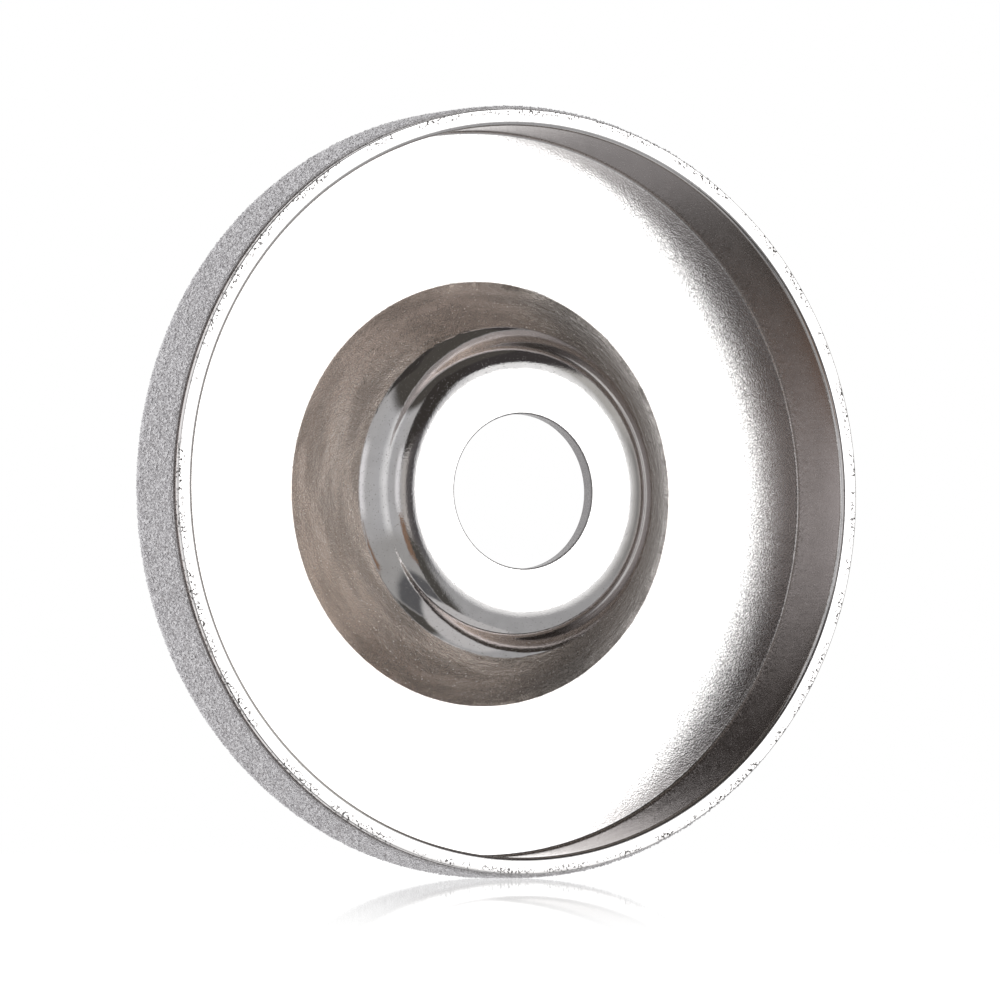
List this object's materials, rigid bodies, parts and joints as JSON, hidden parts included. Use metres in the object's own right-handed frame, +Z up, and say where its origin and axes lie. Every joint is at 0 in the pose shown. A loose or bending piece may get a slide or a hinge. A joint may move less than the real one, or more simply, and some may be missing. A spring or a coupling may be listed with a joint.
{
  "type": "diamond grinding wheel",
  "caption": "Cup-shaped electroplated diamond grinding wheel: a pressed steel cup with a raised bored boss, its outer wall and closed face coated with diamond grit.",
  "frame": {"origin": "centre of the bore in the plane of the flange seat, which is also the plane of the rim", "axes": "+Y along the wheel's axis, from the open side to the closed face; +Z up across the wheel, which spins about Y"},
  "size_m": [0.1, 0.0143, 0.1],
  "materials": {
    "nickel_plated_steel": "bright nickel plate over pressed steel, mirror-like on the seat and shoulder, fine orange peel on the web, nubby on the flare",
    "nickel_bond": "matt electroplated nickel between the grains",
    "diamond_grit": "coarse sparkling grey crystals half sunk in nickel"
  },
  "bodies": {
    "root": {"pressed_steel_cup": "nickel_plated_steel", "nickel_bond_layer": "nickel_bond", "diamond_grit_layer": "diamond_grit"}
  },
  "joints": []
}
